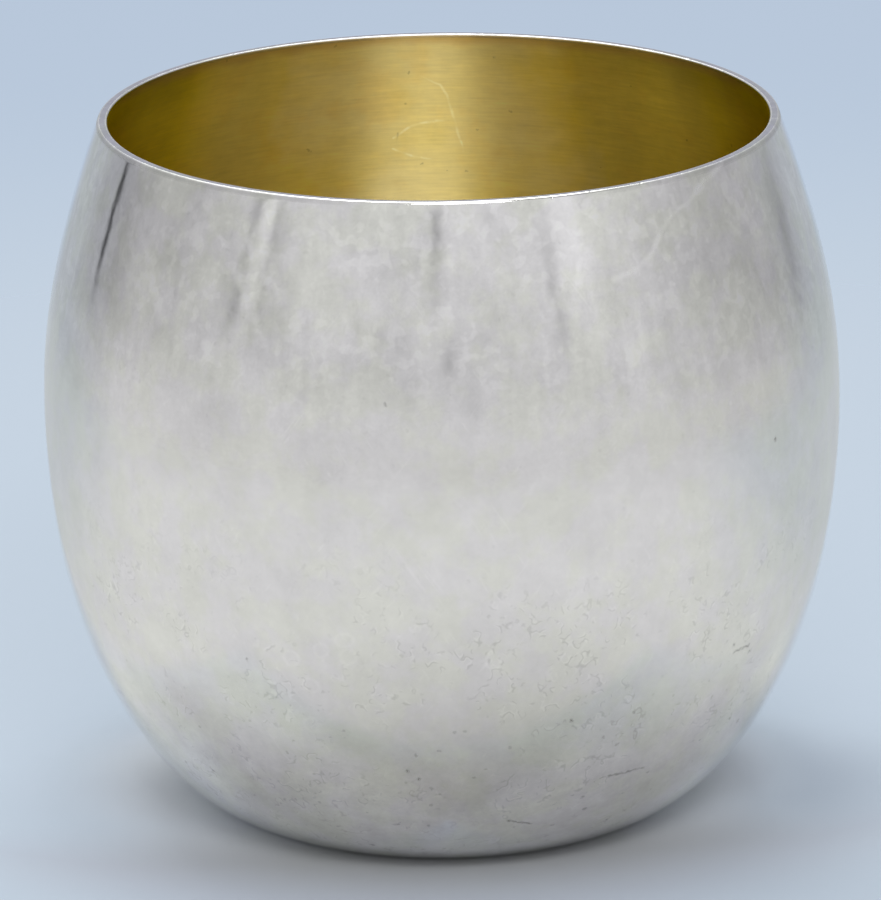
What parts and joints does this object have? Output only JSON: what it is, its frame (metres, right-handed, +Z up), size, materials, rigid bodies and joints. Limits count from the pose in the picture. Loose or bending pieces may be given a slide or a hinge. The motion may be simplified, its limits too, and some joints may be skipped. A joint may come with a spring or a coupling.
{
  "type": "jefferson cup",
  "caption": "Round-bellied silver drinking cup with a gilt inside, a plain flat-topped lip and a flat ring to stand on.",
  "frame": {"origin": "middle of the plane that the cup stands on, on its axis", "axes": "+Z up along the cup's axis; the cup is round, so X and Y are any two level directions"},
  "size_m": [0.0796, 0.0796, 0.07],
  "materials": {
    "silver": "soft hand polish with fine wear scratches",
    "gilt": "satin gold wash with fine lines running round the cup"
  },
  "bodies": {
    "root": {"cup_body": "silver", "gilt_lining": "gilt"}
  },
  "joints": []
}
